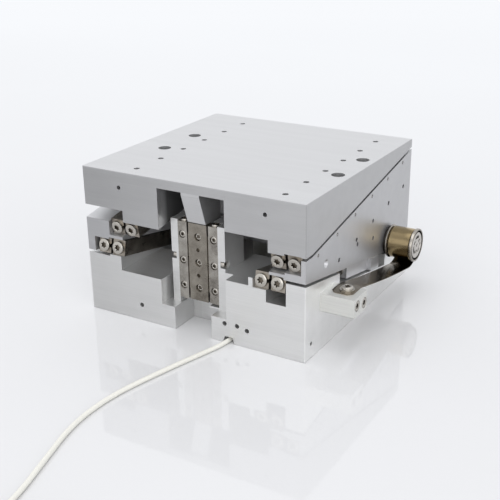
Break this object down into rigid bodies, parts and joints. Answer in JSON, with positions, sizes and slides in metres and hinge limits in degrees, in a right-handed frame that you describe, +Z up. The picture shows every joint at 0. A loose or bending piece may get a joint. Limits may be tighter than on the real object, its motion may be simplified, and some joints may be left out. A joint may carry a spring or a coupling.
{
  "type": "vertical lift stage",
  "caption": "Wedge-driven precision stage that lifts a flat drilled platform on crossed-roller rails, with a constant-force spring, stops and a signal cable.",
  "frame": {"origin": "centre of the base's underside", "axes": "+X to the side that carries the spring, +Y from the guided front to the back, +Z up, the way the platform lifts"},
  "size_m": [0.1065, 0.2329, 0.0576],
  "materials": {
    "base_aluminium": "fine milled, satin clear anodised",
    "wedge_aluminium": "fine milled, satin clear anodised",
    "platform_aluminium": "fine milled, satin clear anodised",
    "rail_steel": "ground hardened steel",
    "cage_steel": "thin rolled strip",
    "roller_steel": "polished bearing steel",
    "screw_steel": "polished stainless",
    "spring_steel": "golden temper, polished",
    "hub_aluminium": "turned",
    "bush_bronze": "turned",
    "bracket_aluminium": "milled",
    "magnet_nickel": "nickel plated",
    "coil_resin": "potted",
    "scale_steel": "etched tape",
    "head_resin": "moulded",
    "cable_white": "soft sheath",
    "tie_black": "hook and loop",
    "grommet_rubber": "moulded",
    "connector_metal": "nickel plated"
  },
  "bodies": {
    "base": {"base_body": "base_aluminium", "base_rail_left": "rail_steel", "base_rail_right": "rail_steel", "end_screws_base": "screw_steel", "guide_rail_left": "rail_steel", "guide_rail_right": "rail_steel", "guide_rail_screws": "screw_steel", "guide_end_screws": "screw_steel", "guide_preload_screws": "screw_steel", "spring_bracket": "bracket_aluminium", "bracket_screws": "screw_steel", "band_clamp_screw": "screw_steel", "band_clamp_washer": "screw_steel", "spring_band": "spring_steel", "coil_mount": "bracket_aluminium", "motor_coil": "coil_resin", "encoder_bracket": "bracket_aluminium", "read_head": "head_resin", "cable_grommet": "grommet_rubber", "signal_cable": "cable_white", "cable_coil": "cable_white", "cable_tie": "tie_black", "cable_connector": "connector_metal"},
    "wedge": {"wedge_body": "wedge_aluminium", "wedge_rail_upper_left": "rail_steel", "wedge_rail_upper_right": "rail_steel", "wedge_rail_lower_left": "rail_steel", "wedge_rail_lower_right": "rail_steel", "end_screws_wedge": "screw_steel", "rail_screws": "screw_steel", "rail_preload_screws": "screw_steel", "stop_block": "wedge_aluminium", "stop_bumpers": "screw_steel", "spool_axle": "screw_steel", "magnet_plate": "rail_steel", "magnets": "magnet_nickel", "encoder_scale": "scale_steel"},
    "platform": {"platform_body": "platform_aluminium", "platform_rail_left": "rail_steel", "platform_rail_right": "rail_steel", "end_screws_platform": "screw_steel", "guide_rail_centre": "rail_steel", "centre_rail_screws": "screw_steel"},
    "lower_cage_left": {"cage_lower_left": "cage_steel", "rollers_lower_left": "roller_steel"},
    "lower_cage_right": {"cage_lower_right": "cage_steel", "rollers_lower_right": "roller_steel"},
    "upper_cage_left": {"cage_upper_left": "cage_steel", "rollers_upper_left": "roller_steel"},
    "upper_cage_right": {"cage_upper_right": "cage_steel", "rollers_upper_right": "roller_steel"},
    "guide_cage_left": {"guide_cage_left": "cage_steel", "guide_rollers_left": "roller_steel"},
    "guide_cage_right": {"guide_cage_right": "cage_steel", "guide_rollers_right": "roller_steel"},
    "spool": {"spool_hub": "hub_aluminium", "spool_bush": "bush_bronze", "spring_roll": "spring_steel"}
  },
  "joints": [
    {"name": "wedge_slide", "type": "slide", "parent": "base", "child": "wedge", "axis": [0, -0.9842, 0.1771], "range_m": [-0.00706, 0.00706], "deforming": ["spring_band"]},
    {"name": "platform_lift", "type": "slide", "parent": "base", "child": "platform", "axis": [0, 0, 1], "range_m": [-0.00251, 0.00251]},
    {"name": "lower_cage_left_roll", "type": "slide", "parent": "base", "child": "lower_cage_left", "axis": [0, -0.9842, 0.1771], "range_m": [-0.0036, 0.0036]},
    {"name": "lower_cage_right_roll", "type": "slide", "parent": "base", "child": "lower_cage_right", "axis": [0, -0.9842, 0.1771], "range_m": [-0.0036, 0.0036]},
    {"name": "upper_cage_left_roll", "type": "slide", "parent": "wedge", "child": "upper_cage_left", "axis": [0, 0.9842, 0.1771], "range_m": [-0.0036, 0.0036]},
    {"name": "upper_cage_right_roll", "type": "slide", "parent": "wedge", "child": "upper_cage_right", "axis": [0, 0.9842, 0.1771], "range_m": [-0.0036, 0.0036]},
    {"name": "guide_cage_left_roll", "type": "slide", "parent": "base", "child": "guide_cage_left", "axis": [0, 0, 1], "range_m": [-0.00126, 0.00126]},
    {"name": "guide_cage_right_roll", "type": "slide", "parent": "base", "child": "guide_cage_right", "axis": [0, 0, 1], "range_m": [-0.00126, 0.00126]},
    {"name": "spool_spin", "type": "hinge", "parent": "wedge", "child": "spool", "pos_m": [0.0529, 0.0253, 0.0213], "axis": [1, 0, 0], "range_deg": [-66, 66]}
  ],
  "couplings": [
    {"joint": "platform_lift", "follows": "wedge_slide", "ratio": 0.35417},
    {"joint": "lower_cage_left_roll", "follows": "wedge_slide", "ratio": 0.5},
    {"joint": "lower_cage_right_roll", "follows": "wedge_slide", "ratio": 0.5},
    {"joint": "upper_cage_left_roll", "follows": "wedge_slide", "ratio": 0.5},
    {"joint": "upper_cage_right_roll", "follows": "wedge_slide", "ratio": 0.5},
    {"joint": "guide_cage_left_roll", "follows": "wedge_slide", "ratio": 0.17708},
    {"joint": "guide_cage_right_roll", "follows": "wedge_slide", "ratio": 0.17708},
    {"joint": "spool_spin", "follows": "wedge_slide", "rad_per_m": 157.48}
  ]
}
